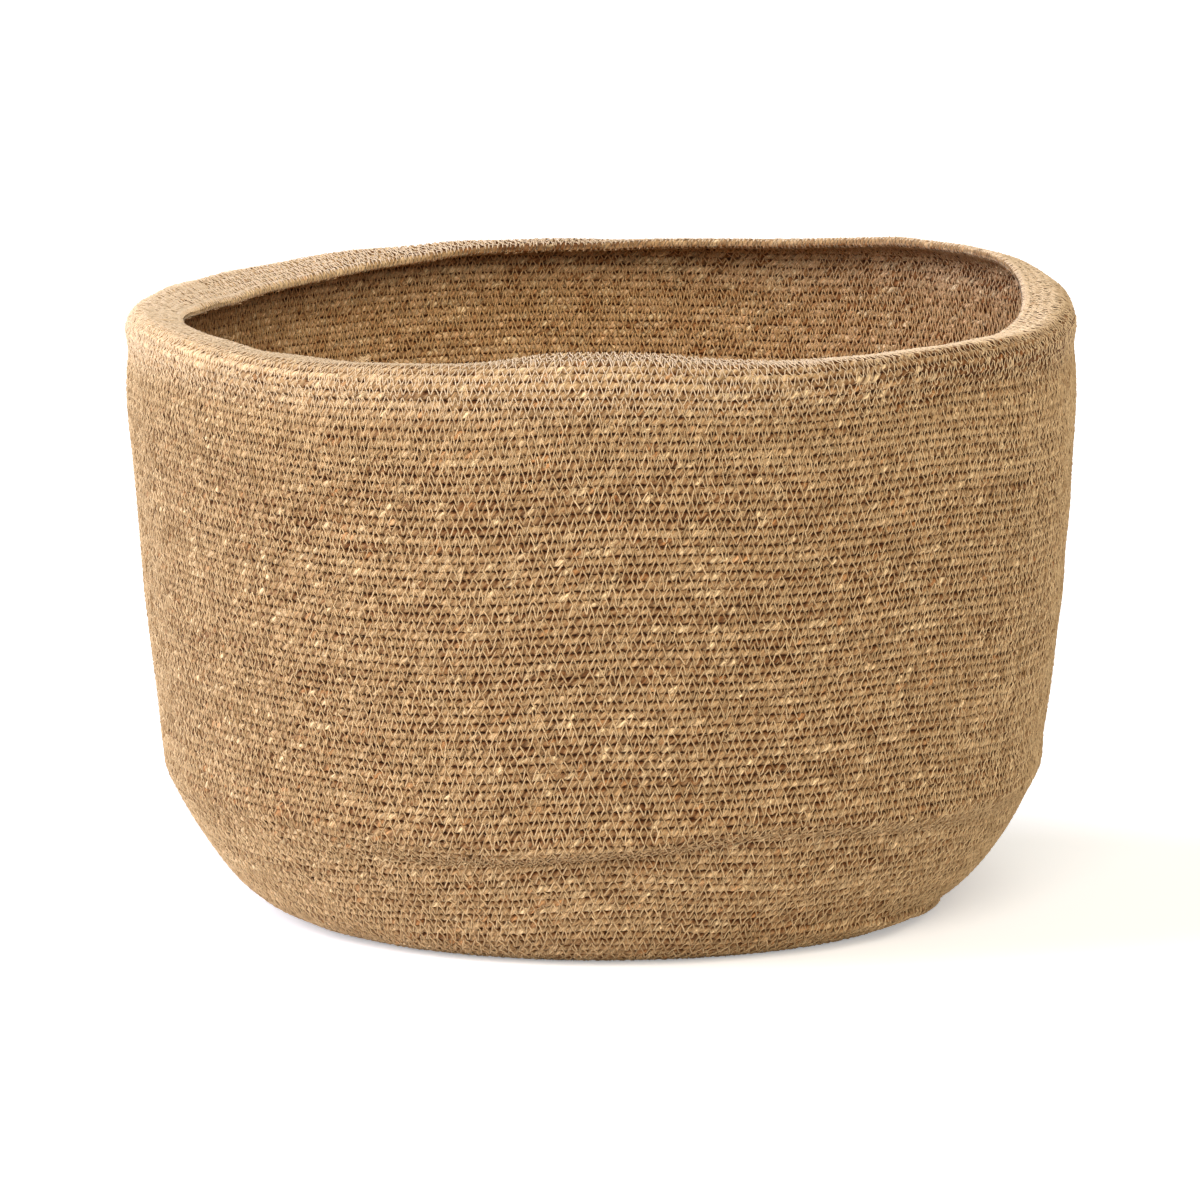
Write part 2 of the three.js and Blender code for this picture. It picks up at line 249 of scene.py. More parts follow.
def shapePoint(azimuth, distance, height, creased=True):
    # A point at a distance along the profile and a height off it, on the soft basket
    r, z, angle = profileAt(distance)
    level = np.maximum(0, (z - cordRadius) / (rimHeight - cordRadius))
    upWall = smoothBetween(distance, footEnd, wallEnd)
    heelMiddle = (footEnd + heelEnd) / 2
    soft = softWall
    r = r + sharedOut(soft, "rimPush", azimuth) * upWall
    heelBell = bell(distance - heelMiddle, soft["heelSwellWidth"])
    r = r + sharedOut(soft, "heelSwell", azimuth) * heelBell
    footBell = bell(distance - floorEnd, soft["footDrawWidth"])
    r = r - sharedOut(soft, "footDraw", azimuth) * footBell
    wallBell = bell(distance - wallMiddle, soft["wallDrawWidth"])
    r = r - sharedOut(soft, "wallDraw", azimuth) * wallBell
    r = r - soft["neckDepth"] * bell(distance - wallEnd + soft["neckBelow"], soft["neckWidth"])
    if creased:
        outward, sag = creaseAt(azimuth, distance)
        r, z = r + outward, z - sag
    z = z + sharedOut(soft, "rimRise", azimuth) * level ** soft["riseFade"]
    overLip = np.maximum(0, distance - (wallEnd + shoulderEnd) / 2)
    tilt = np.tan(np.radians(waveAt(soft["lipTilts"], azimuth)))
    z = z - overLip * tilt * smoothBetween(distance, shoulderEnd - soft["lipBlend"], shoulderEnd)
    r = r + height * np.sin(angle)
    z = z - height * np.cos(angle)
    return np.stack([r * np.cos(azimuth), r * np.sin(azimuth), z], -1)


# The CAD's origin is the middle of its box, so the basket's axis lies a little beside it
def findAxis():
    directions = np.radians(np.arange(0, 360, 5))
    distances = np.linspace(floorEnd, lipEnd, 400)
    points = shapePoint(*np.meshgrid(directions, distances), cordRadius).reshape(-1, 3)
    middle = (points.min(0) + points.max(0)) / 2
    cadMiddle = np.array((cadLow + cadHigh) / 2) / mm
    return np.array([cadMiddle[0] - middle[0], cadMiddle[1] - middle[1], 0])


basketAxis = findAxis()
print("basket axis at", np.round(basketAxis, 3))


def slowNoise(seed, size, flatness=1):
    # Waves of all directions over the wall, which close on themselves round it
    count, spread = 9, 1.6
    rng = np.random.default_rng(seed)
    wallRadius = float(profileAt(wallMiddle)[0])
    around = np.round(rng.normal(0, 1, count) * fullTurn * wallRadius / size / spread)
    up = rng.normal(0, 1, count) * fullTurn / size / spread * flatness
    phase = rng.uniform(0, fullTurn, count)

    def noise(azimuth, distance):
        waves = [np.sin(a * azimuth + u * distance + p) for a, u, p in zip(around, up, phase)]
        return sum(waves) / math.sqrt(count / 2)
    return noise


rowWander = slowNoise(seeds["wander"], unevenness["wanderSize"])
wallSwell = slowNoise(seeds["swell"], unevenness["swellSize"])

# The wall doesn't stretch into a crease: the rows below slip up into it. The table holds how far
# every row lies from its place on the plain profile.
slipping = {
    "step": 0.5,
    "degrees": 2,
    "beyondLip": 20,
    "fixedWithin": 20,      # the middle of the base keeps its place
}


def slipTable():
    azimuth, distance = np.meshgrid(
        np.radians(np.arange(0, 361, slipping["degrees"])),
        np.arange(0, lipEnd + slipping["beyondLip"], slipping["step"]), indexing="ij")
    lengths = [
        np.linalg.norm(np.diff(shapePoint(azimuth, distance, 0, creased), axis=1), axis=2)
        for creased in (True, False)]
    extra = np.zeros_like(distance)
    extra[:, :-1] = np.cumsum((lengths[0] - lengths[1])[:, ::-1], 1)[:, ::-1]
    rowPlace = distance - extra
    for crease in creases:
        strength, above = creasePlace(crease, azimuth, distance)
        folded = 1 - smoothBetween(above, *swallowSpan)
        rowPlace = rowPlace - crease["swallowed"] * strength * folded
    slip = np.stack([
        np.interp(there, here, there) - there for there, here in zip(distance, rowPlace)])
    slip = slip * smoothBetween(distance, slipping["fixedWithin"], floorEnd)
    onWall = smoothBetween(distance, footEnd, kinkEnd + unevenness["waveFromKink"])
    onWall = onWall * (1 - smoothBetween(distance, wallEnd - unevenness["waveFadeLength"], wallEnd))
    return slip + sharedOut(unevenness, "rowWave", azimuth) * onWall


slips = slipTable()


def slipAt(azimuth, distance):
    around = (azimuth / fullTurn) % 1 * (slips.shape[0] - 1)
    up = np.clip(distance / slipping["step"], 0, slips.shape[1] - 1.01)
    i, j = np.floor(around).astype(int), np.floor(up).astype(int)
    s, t = around - i, up - j
    low = slips[i, j] * (1 - t) + slips[i, j + 1] * t
    high = slips[i + 1, j] * (1 - t) + slips[i + 1, j + 1] * t
    return low * (1 - s) + high * s


def wallPoint(azimuth, distance, height):
    calm = smoothBetween(distance, 0, unevenness["calmWithin"])
    wandered = distance + unevenness["wander"] * calm * rowWander(azimuth, distance)
    wandered = wandered + slipAt(azimuth, distance)
    offFloor = smoothBetween(distance, floorEnd, footEnd)
    swelled = height + unevenness["swell"] * offFloor * wallSwell(azimuth, distance)
    return shapePoint(azimuth, wandered, swelled) + basketAxis


# The basket's own weight presses what lies under it flat on the floor
def pressed(points, lowest):
    points[..., 2] = np.maximum(points[..., 2], lowest)
    return points


# The one cord, from the middle of the base to the lip's edge
rows = {
    "firstDistance": 3.6,
    "innerTurns": 0.92,     # how far it winds on in from there
    "endAngle": 235,
    "coilTurns": 3,
    "edgeRowAngle": 355,
    "ringStep": 1.25,
    "sideAngles": [-90, -56, -20, 20, 56, 90, 124, 160, 200, 236],
    "fullness": 1.03,
    "touching": 1.05,       # at the sides, where a row presses on the next
    "touchingWidth": 0.05,
    "shoulderFill": 1.19,   # between side and crest
    "shoulderPlace": 0.31,
    "shoulderWidth": 0.2,
    "freeSide": 0.7,        # the part of the last row's side that touches nothing
    "gapDepth": 0.45,
    "gapSpan": (0.25, 0.85),
    "gapeSpread": 0.4,
    "gapeShares": [1.15, 0.75, 0.28, 0.85],   # how widely the rows gape between stitches
    "insideGapeShares": [1.2, 0.95, 1.2, 1],
    "lipGape": 0.75,
    "layLength": 8.2,
    "layJitter": 0.5,
    "laySize": 23,
    "plyGroove": 0.62,
    "thicknessJitter": 0.05,
    "thicknessSize": 9,
    "fibreStretch": 0.16,   # streaks of fibre are longer than they are wide
    "pressedTo": 0.3,
    "mostRings": 9900,
    "tableSteps": 80000,
}
endShare = rows["endAngle"] / 360
wholeTurns = round((edgeDistance - rows["firstDistance"]) / profile["cordDiameter"] - endShare)
lastTurn = wholeTurns + endShare
rowPitch = (edgeDistance - rows["firstDistance"]) / lastTurn


def turnAt(distance):
    return (distance - rows["firstDistance"]) / rowPitch


def distanceAt(turn):
    return rows["firstDistance"] + rowPitch * turn


turnTable = np.linspace(-rows["innerTurns"], lastTurn, rows["tableSteps"])
radiusTable = profileAt(distanceAt(turnTable))[0]
alongTable = np.concatenate([[0], np.cumsum(
    fullTurn * (radiusTable[1:] + radiusTable[:-1]) / 2 * np.diff(turnTable))])


def alongAt(turn):
    return np.interp(turn, turnTable, alongTable)


def turnAlong(along):
    return np.interp(along, alongTable, turnTable)


def cutUp(first, last, most):
    # A long run in parts of up to most steps, each with the end of its piece's name
    count = max(1, math.ceil((last - first) / most))
    cuts = np.round(np.linspace(first, last, count + 1)).astype(int)
    return [(begin, end, f"_{number}" if count > 1 else "")
            for number, (begin, end) in enumerate(zip(cuts[:-1], cuts[1:]), 1)]


def lineNoise(seed, size, length):
    # A smooth line through chance values, one every size millimetres
    rng = np.random.default_rng(seed)
    knots = rng.normal(0, 1, int(length / size) + 4)

    def noise(along):
        place = np.clip(along / size, 0, len(knots) - 1.001)
        index = np.floor(place).astype(int)
        t = place - index
        t = t * t * (3 - 2 * t)
        return knots[index] * (1 - t) + knots[index + 1] * t
    return noise


cordLength = float(alongTable[-1])
withTail = cordLength + 100
layNoise = lineNoise(seeds["lay"], rows["laySize"], withTail)
thickNoise = lineNoise(seeds["thickness"], rows["thicknessSize"], withTail)
print("cord length %.1f m, row pitch %.3f mm" % (cordLength * mm, rowPitch))

# The machine's zigzag over each seam, with the needle thread outside and the bobbin thread inside
stitch = {
    "firstTurn": 1,
    "halfStep": 2.15,
    "halfStepJitter": 0.25,
    "jitterLimit": 2.5,
    "rimHalfStep": 1.7,
    "rimBelow": 12,         # below the wall's top, where the steps have become as short as on the rim
    "tighteningLength": 16000,      # of cord
    "spareDraws": 1.2,
    "zoneJitter": 0.06,
    "zoneSize": 160,
    "zoneLimits": (0.65, 1.4),
    "halfWidth": 2.85,
    "halfWidthJitter": 0.45,
    "rimNarrow": 0.7,
    "lipWiden": 1.25,       # the strokes that lie along the flat of the lip are the longest
    "lipRaise": 0.22,
    "middleJitter": 0.3,
    "middleSize": 60,
    "threadRadius": 0.38,
    "rimThin": 0.07,
    "flatness": 0.6,        # pulled tight, it lies pressed into the grass
    "sunk": 1,
    "crestShare": 0.2,
    "overCrest": 0.1,
    "overSeam": -0.35,
    "slack": 0.12,
    "shade": 0.5,
    "shadeSpread": 0.16,
    "batchSpread": 0.04,
    "batchSize": 300,
    # painted light on the inside thread
    "insideLighter": 0.12,
    "insideRusset": 0.5,
    "sides": 3,
    "pressedTo": 0.02,
    "mostStrokes": 8000,
}
stitchRng = np.random.default_rng(seeds["stitch"])
seamStart = float(alongAt(stitch["firstTurn"]))
rimStart = float(alongAt(turnAt(wallEnd - stitch["rimBelow"])))

# Where the rim and the lip begin, from the wall's top
rimZone = {"start": -16, "whole": 4, "lipStart": 8}


def rimShare(distance):
    return smoothBetween(distance, wallEnd + rimZone["start"], wallEnd + rimZone["whole"])


def onLip(distance):
    return smoothBetween(distance, wallEnd + rimZone["lipStart"], shoulderEnd)


def placePunctures():
    drawn = int((cordLength - seamStart) / stitch["rimHalfStep"] * stitch["spareDraws"])
    limit = stitch["jitterLimit"]
    jitter = 1 + stitch["halfStepJitter"] * np.clip(stitchRng.normal(0, 1, drawn), -limit, limit)
    rough = seamStart + np.cumsum(stitch["halfStep"] * jitter)
    zoneNoise = lineNoise(seeds["stitchZone"], stitch["zoneSize"], cordLength)
    zones = 1 + stitch["zoneJitter"] * zoneNoise(np.minimum(rough, cordLength))
    rim = smoothBetween(rough, rimStart - stitch["tighteningLength"], rimStart)
    base = stitch["halfStep"] + (stitch["rimHalfStep"] - stitch["halfStep"]) * rim
    places = seamStart + np.cumsum(base * jitter * np.clip(zones, *stitch["zoneLimits"]))
    return places[places < cordLength]


punctureAlong = placePunctures()
punctureCount = len(punctureAlong)
punctureSide = np.where(np.arange(punctureCount) % 2 == 0, 1.0, -1.0)
punctureTurn = turnAlong(punctureAlong)
punctureDistance = distanceAt(punctureTurn)
punctureLip = onLip(punctureDistance)
punctureReach = (stitch["halfWidth"] - stitch["rimNarrow"] * rimShare(punctureDistance)
                 + stitch["lipWiden"] * punctureLip)
middleNoise = lineNoise(seeds["stitchMiddle"], stitch["middleSize"], cordLength)
punctureAcross = (punctureSide * punctureReach
                  + stitchRng.normal(0, 1, punctureCount) * stitch["halfWidthJitter"]
                  + stitch["middleJitter"] * middleNoise(punctureAlong))
threadBatch = lineNoise(seeds["threadShade"], stitch["batchSize"], cordLength)
threadShade = np.clip(stitch["shade"] + stitch["shadeSpread"] * stitchRng.normal(0, 1, punctureCount)
                      + stitch["batchSpread"] * threadBatch(punctureAlong), 0, 1)
strokeSlack = stitch["slack"] * stitchRng.normal(0, 1, punctureCount)

# Where the strokes cross the seam, and how far the rows gape between two of them, outside and inside
strokeAlong = (punctureAlong[1:] + punctureAlong[:-1]) / 2
gapeRng = np.random.default_rng(seeds["gape"])
gapeDraws = [gapeRng.normal(waveAt(rows[face], fullTurn * punctureTurn), rows["gapeSpread"])
             + rows["lipGape"] * punctureLip for face in ("gapeShares", "insideGapeShares")]

# What shows of the two plies: each lump between threads has its own tone, with painted shade in the
# grooves, seams and gaps and painted light round the rim, lip, heel and inside
cordTone = {
    "middle": 0.64,
    "lumpSpread": 0.1,
    "insideSpread": 0.26,
    "batchSpread": 0.035,
    "batchSize": 420,
    "runSpread": 0.055,
    "runSize": 38,
    "spareLumps": 400,
    "darkestLump": -1,
    # seam, groove and gap: painted shade where the rows touch, in the groove between the plies and in the
    # gaps where the rows part
    "seam": 0.12,
    "groove": 0.3,
    "gap": 0.72,
    "gapCrest": 0.6,        # how far a gap's painted shade reaches up the row's shoulder
    "gapHides": 0.8,        # and how much of the pale and russet it takes away
    "paleShare": 0.045,
    "paleWide": 0.03,
    "paleRuns": 0.9,        # pale stretches of the grass show as short runs along a row
    "paleRunSize": 13,
    "paleZones": 0.35,
    "paleZoneSize": (60, 4),
    "russetShare": 0.022,
    "russetStrength": 0.6,
    "russetZones": 0.4,
    "russetZoneSize": (90, 2),
    # rimLift, lipLift and heelLift: painted light round the rim and on the lip, and painted bounce light
    # along the heel
    "rimLift": 0.3,
    "rimLiftShares": [0.3, 0.5, 0.8, 0.8, 0.6, 0.8, 1.5, 1.7, 1.8, 1.8, 1.3, 1.1, 1.1, 0.65, 0.05, 0.1],
    "lipLift": 0.3,
    "lipLiftShares": [0.9, 0.9, 0.8, 0.6, 0.3, 0.5, 0.8, 1, 1.1, 1, 0.5, 0.5, 0.5, 0.6, 0.9, 0.9],
    "heelLift": 0.08,
    "heelLiftShares": [1.7, 0.8, 2, 0.4],
    "heelFadeLength": 10,
    "rimCordDrop": 0.2,     # the cord between the threads gets less of that painted light than its thread, and where the lift is small, painted shade
    "lipCordDrop": 0.24,
    # painted sheen: a paler, greyer tone round the rim and on the lip
    "paintedRimSheen": 0.35,
    "rimPaleLeast": 0.3,
    "rimPaleLimit": 1.5,
    "lipPale": 0.3,
    # painted light inside the basket, most on the left and the back
    "insideLift": 0.1,
    "insideLiftShares": [-0.6, 2.75, 3.8, 1.5],
    "insidePale": 0.9,
    "insideRusset": 0.52,
}
lumpCount = int(2 * cordLength / rows["layLength"]) + cordTone["spareLumps"]
lumpRng = np.random.default_rng(seeds["lump"])
lumpBright = np.maximum(lumpRng.normal(0, 1, (2, lumpCount)), cordTone["darkestLump"])
lumpDraw = lumpRng.random((2, lumpCount))
lumpRusset = lumpRng.random((2, lumpCount))
batchNoise = lineNoise(seeds["batch"], cordTone["batchSize"], withTail)
runNoise = lineNoise(seeds["run"], cordTone["runSize"], withTail)
paleNoise = lineNoise(seeds["paleRun"], cordTone["paleRunSize"], withTail)
paleZones = slowNoise(seeds["paleZone"], *cordTone["paleZoneSize"])
russetZones = slowNoise(seeds["russetZone"], *cordTone["russetZoneSize"])


def paintedLight(azimuth, distance):
    # Painted light round the rim and on the lip, and painted bounce light along the heel
    onHeel = smoothBetween(distance, floorEnd, footEnd)
    onHeel = onHeel * (1 - smoothBetween(distance, heelEnd - cordTone["heelFadeLength"], kinkEnd))
    lighter = sharedOut(cordTone, "rimLift", azimuth) * rimShare(distance)
    lighter = lighter + sharedOut(cordTone, "lipLift", azimuth) * onLip(distance)
    return lighter + sharedOut(cordTone, "heelLift", azimuth) * onHeel


# Painted sheen: a paler, greyer tone round the rim and on the lip
def paintedRimSheen(azimuth, distance):
    lift = waveAt(cordTone["rimLiftShares"], azimuth)
    paler = np.clip(cordTone["rimPaleLeast"] + lift, 0, cordTone["rimPaleLimit"])
    return cordTone["paintedRimSheen"] * paler * rimShare(distance) + cordTone["lipPale"] * onLip(distance)


def seamGap(azimuth, along, side, inside):
    # How far the two rows part at a seam, between one stroke of the thread and the next
    opens = []
    for place in (along, alongAt(azimuth / fullTurn + 1)):
        cell = np.clip(np.searchsorted(strokeAlong, place), 1, len(strokeAlong) - 1)
        share = (place - strokeAlong[cell - 1]) / (strokeAlong[cell] - strokeAlong[cell - 1])
        between = smoothBetween(np.sin(math.pi * np.clip(share, 0, 1)), *rows["gapSpan"])
        opens.append([between * smoothBetween(draw[cell], 0, 1) for draw in gapeDraws])
    lower, upper = [np.where(inside == 1, inner[:, None], outer[:, None]) for outer, inner in opens]
    return np.where(side > 0, upper, lower)


def cordSection(azimuth, distance, height, scale, along):
    # Rings of the cord and what they look like. Theta goes round a ring, from the side towards
    # the row before, over the outer face, and back by the inner one.
    theta = np.radians(rows["sideAngles"])[None, :]
    phase = (fullTurn * along / rows["layLength"] + rows["layJitter"] * layNoise(along))[:, None]
    flat = np.cos(theta) ** 2
    edge = np.exp(-(flat / rows["touchingWidth"]))
    shoulder = np.exp(-(((flat - rows["shoulderPlace"]) / rows["shoulderWidth"]) ** 2))
    inside = np.broadcast_to((np.cos(theta) < 0).astype(int), (len(along), theta.shape[1]))
    opened = seamGap(azimuth, along, np.sin(theta), inside)
    onLastRow = azimuth > fullTurn * (lastTurn - 1)
    lastEdge = onLastRow[:, None] & (np.sin(theta) > rows["freeSide"])
    opened = opened * ~lastEdge
    fill = rows["fullness"] + (rows["shoulderFill"] - rows["fullness"]) * shoulder
    fill = fill + rows["thicknessJitter"] * thickNoise(along)[:, None] * flat
    fill = fill * (1 - edge) + rows["touching"] * edge - rows["gapDepth"] * opened * shoulder
    groove = np.sin(theta - phase) ** 2 * flat
    radius = (cordRadius * fill - rows["plyGroove"] * groove) * scale[:, None]
    points = pressed(wallPoint(
        np.broadcast_to(azimuth[:, None], radius.shape),
        distance[:, None] + radius * np.sin(theta),
        height[:, None] + radius * np.cos(theta)), rows["pressedTo"])
    half = theta - math.pi * inside
    lump = np.round((phase - half) / math.pi).astype(int) % lumpCount
    runs = cordTone["paleZones"] * paleZones(azimuth, distance)
    runs = runs + cordTone["paleRuns"] * paleNoise(along)
    paleLimit = cordTone["paleShare"] * np.exp(runs)[:, None]
    paleLimit = paleLimit * (1 + cordTone["insidePale"] * inside)
    pale = 1 - smoothBetween(lumpDraw[inside, lump], paleLimit, paleLimit + cordTone["paleWide"])
    zones = np.exp(cordTone["russetZones"] * russetZones(azimuth, distance))[:, None]
    russetLimit = cordTone["russetShare"] * zones
    russet = 1 - smoothBetween(lumpRusset[inside, lump], russetLimit, 2 * russetLimit)
    russet = np.maximum(cordTone["russetStrength"] * russet, cordTone["insideRusset"] * inside)
    spread = cordTone["lumpSpread"] + cordTone["insideSpread"] * inside
    shade = cordTone["middle"] + spread * lumpBright[inside, lump]
    shade = shade + cordTone["batchSpread"] * batchNoise(along)[:, None]
    shade = shade + cordTone["runSpread"] * runNoise(along)[:, None]
    # Painted light on the rim, lip and heel, less of it on the cord than on its thread
    lighter = paintedLight(azimuth, distance) - cordTone["rimCordDrop"] * rimShare(distance)
    lighter = lighter - cordTone["lipCordDrop"] * onLip(distance)
    # Painted light inside, most on the left and the back
    lighterInside = sharedOut(cordTone, "insideLift", azimuth)
    shade = shade + lighter[:, None] + lighterInside[:, None] * inside
    # Painted shade in the groove between the plies, in the gaps and where the rows touch
    shade = shade - cordTone["groove"] * groove
    shade = shade - cordTone["gap"] * opened * (cordTone["gapCrest"] * shoulder + edge)
    shade = np.clip(shade - cordTone["seam"] * edge * ~lastEdge, 0, 1)
    # where that painted shade lies, the pale and russet fade out
    clear = (1 - groove) ** 2 * (1 - edge) * (1 - cordTone["gapHides"] * opened * shoulder)
    tone = np.stack([pale * clear, russet * (1 - pale) * clear, shade], -1)
    untwisted = theta - phase
    fibre = np.stack([
        radius * np.cos(untwisted), radius * np.sin(untwisted),
        np.broadcast_to(along[:, None] * rows["fibreStretch"], radius.shape)], -1)
    return points, tone, fibre


def intoScene(name, data):
    made = bpy.data.objects.new(name, data)
    bpy.context.scene.collection.objects.link(made)
    return made


def stripPlaces(ringCount, sideCount):
    # A tidy flat layout of a long tube: strips of it lie one above another
    strips = max(1, round(math.sqrt(ringCount / (sideCount + 1))))
    stripLength = math.ceil(ringCount / strips)
    ring = np.arange(ringCount - 1)[:, None]
    side = np.arange(sideCount)[None, :]
    strip = ring // stripLength
    left = (ring % stripLength) / stripLength
    low = (strip * (sideCount + 1) + side) / (strips * (sideCount + 1))
    right = left + 1 / stripLength
    high = low + 1 / (strips * (sideCount + 1))
    left, right, low, high = (np.broadcast_to(a, low.shape) for a in (left, right, low, high))
    return np.stack([left, low, left, high, right, high, right, low], -1).reshape(-1, 2)


def tubeMesh(name, points, tone, fibre, material, strandRings=None):
    # One tube through all the rings, or one for every strandRings of them, closed at the ends
    ringCount, sideCount = points.shape[:2]
    strandRings = strandRings or ringCount
    index = np.arange(ringCount * sideCount).reshape(ringCount, sideCount)
    ahead = np.roll(index, -1, 1)
    joined = np.arange(1, ringCount) % strandRings > 0
    quads = np.stack([index[:-1], ahead[:-1], ahead[1:], index[1:]], -1)[joined].reshape(-1, 4)
    caps = np.concatenate([index[::strandRings, ::-1], index[strandRings - 1::strandRings]])
    mesh = bpy.data.meshes.new(name)
    mesh.vertices.add(ringCount * sideCount)
    mesh.vertices.foreach_set("co", (points * mm).astype(np.float32).ravel())
    loops = np.concatenate([quads.ravel(), caps.ravel()])
    starts = np.concatenate([
        np.arange(len(quads)) * 4, quads.size + sideCount * np.arange(len(caps))])
    mesh.loops.add(len(loops))
    mesh.loops.foreach_set("vertex_index", loops.astype(np.int32))
    mesh.polygons.add(len(starts))
    mesh.polygons.foreach_set("loop_start", starts.astype(np.int32))
    mesh.update(calc_edges=True)
    for label, values in (("tone", tone), ("fibrePlace", fibre)):
        layer = mesh.attributes.new(label, "FLOAT_VECTOR", "POINT")
        layer.data.foreach_set("vector", values.astype(np.float32).ravel())
    places = np.zeros((len(loops), 2), np.float32)
    joined = np.repeat(joined, sideCount * 4)
    places[:quads.size] = stripPlaces(ringCount, sideCount)[joined]
    mesh.uv_layers.new(name="OFBake").data.foreach_set("uv", places.ravel())
    mesh.shade_smooth()
    mesh.materials.append(material)
    return intoScene(name, mesh)


def linearColour(red, green, blue):
    parts = [c / 255 for c in (red, green, blue)]
    return [c / 12.92 if c <= 0.04045 else ((c + 0.055) / 1.055) ** 2.4 for c in parts] + [1]


# Dry plant fibre, as streaks along a strand: a shade and a height
fibreStreaks = {
    "detail": 3,
    "finer": 2.7,
    "finerDetail": 1,
    "finerShare": 0.4,
    "depth": 1,
    "shadeSpan": (0.3, 0.7),
    "sheen": 0.05,
    "sheenRoughness": 0.5,
    "sheenColour": (255, 236, 205),
}


def plantFibreGroup():
    group = bpy.data.node_groups.new("plantFibre", "ShaderNodeTree")
    for label, kind, direction in (
            ("Place", "NodeSocketVector", "INPUT"), ("Fineness", "NodeSocketFloat", "INPUT"),
            ("Shade", "NodeSocketFloat", "OUTPUT"), ("Height", "NodeSocketFloat", "OUTPUT")):
        group.interface.new_socket(label, in_out=direction, socket_type=kind)
    nodes, links = group.nodes, group.links
    given, result = nodes.new("NodeGroupInput"), nodes.new("NodeGroupOutput")
    streaks, fine = nodes.new("ShaderNodeTexNoise"), nodes.new("ShaderNodeTexNoise")
    finer, blend = nodes.new("ShaderNodeMath"), nodes.new("ShaderNodeMix")
    finer.operation = "MULTIPLY"
    finer.inputs[1].default_value = fibreStreaks["finer"]
    streaks.inputs["Detail"].default_value = fibreStreaks["detail"]
    fine.inputs["Detail"].default_value = fibreStreaks["finerDetail"]
    blend.inputs["Factor"].default_value = fibreStreaks["finerShare"]
    for source, target in (
            (given.outputs["Place"], streaks.inputs["Vector"]),
            (given.outputs["Place"], fine.inputs["Vector"]),
            (given.outputs["Fineness"], streaks.inputs["Scale"]),
            (given.outputs["Fineness"], finer.inputs[0]),
            (finer.outputs[0], fine.inputs["Scale"]),
            (streaks.outputs["Fac"], blend.inputs["A"]),
            (fine.outputs["Fac"], blend.inputs["B"]),
            (streaks.outputs["Fac"], result.inputs["Shade"]),
            (blend.outputs["Result"], result.inputs["Height"])):
        links.new(source, target)
    return group


plantFibre = plantFibreGroup()


def colourMix(nodes, blendType="MIX"):
    # Gives the mix's factor, its two colours and its result
    mix = nodes.new("ShaderNodeMix")
    mix.data_type = "RGBA"
    mix.blend_type = blendType
    return mix.inputs[0], mix.inputs[6], mix.inputs[7], mix.outputs[2]


def fibreMaterial(name, look):
    material = bpy.data.materials.new(name)
    material.use_nodes = True
    nodes, links = material.node_tree.nodes, material.node_tree.links
    shader = nodes["Principled BSDF"]
    tone, place = nodes.new("ShaderNodeAttribute"), nodes.new("ShaderNodeAttribute")
    tone.attribute_name, place.attribute_name = "tone", "fibrePlace"
    parts = nodes.new("ShaderNodeSeparateXYZ")
    links.new(tone.outputs["Vector"], parts.inputs[0])
    fibre = nodes.new("ShaderNodeGroup")
    fibre.node_tree = plantFibre
    links.new(place.outputs["Vector"], fibre.inputs["Place"])
    fibre.inputs["Fineness"].default_value = look["fineness"]

    shade = nodes.new("ShaderNodeValToRGB")
    for position, colour in look["shades"].items():
        stop = shade.color_ramp.elements.new(position)
        stop.color = linearColour(*colour)
    for number in (0, -1):              # the two stops that a new ramp has
        shade.color_ramp.elements.remove(shade.color_ramp.elements[number])
    links.new(parts.outputs["Z"], shade.inputs["Fac"])
    paleFactor, paleA, paleB, paleOut = colourMix(nodes)
    links.new(parts.outputs["X"], paleFactor)
    links.new(shade.outputs["Color"], paleA)
    paleB.default_value = linearColour(*look["pale"])
    russetFactor, russetA, russetB, russetOut = colourMix(nodes)
    links.new(parts.outputs["Y"], russetFactor)
    links.new(paleOut, russetA)
    russetB.default_value = linearColour(*look["russet"])
    streakFactor, streakA, streakB, streakOut = colourMix(nodes, "MULTIPLY")
    streakFactor.default_value = fibreStreaks["depth"]
    ramp = nodes.new("ShaderNodeMapRange")
    ramp.inputs["From Min"].default_value = fibreStreaks["shadeSpan"][0]
    ramp.inputs["From Max"].default_value = fibreStreaks["shadeSpan"][1]
    ramp.inputs["To Min"].default_value = look["streakDark"]
    ramp.inputs["To Max"].default_value = look["streakLight"]
    links.new(fibre.outputs["Shade"], ramp.inputs["Value"])
    links.new(russetOut, streakA)
    links.new(ramp.outputs["Result"], streakB)
    links.new(streakOut, shader.inputs["Base Color"])

    dull = nodes.new("ShaderNodeMapRange")
    dull.inputs["To Min"].default_value = look["roughLow"]
    dull.inputs["To Max"].default_value = look["roughHigh"]
    links.new(fibre.outputs["Height"], dull.inputs["Value"])
    links.new(dull.outputs["Result"], shader.inputs["Roughness"])
    bump = nodes.new("ShaderNodeBump")
    bump.inputs["Strength"].default_value = look["bumpStrength"]
    bump.inputs["Distance"].default_value = look["bumpDepth"] * mm
    links.new(fibre.outputs["Height"], bump.inputs["Height"])
    links.new(bump.outputs["Normal"], shader.inputs["Normal"])
    shader.inputs["Specular IOR Level"].default_value = look["specular"]
    shader.inputs["Sheen Weight"].default_value = fibreStreaks["sheen"]
    shader.inputs["Sheen Roughness"].default_value = fibreStreaks["sheenRoughness"]
    shader.inputs["Sheen Tint"].default_value = linearColour(*fibreStreaks["sheenColour"])
    return material


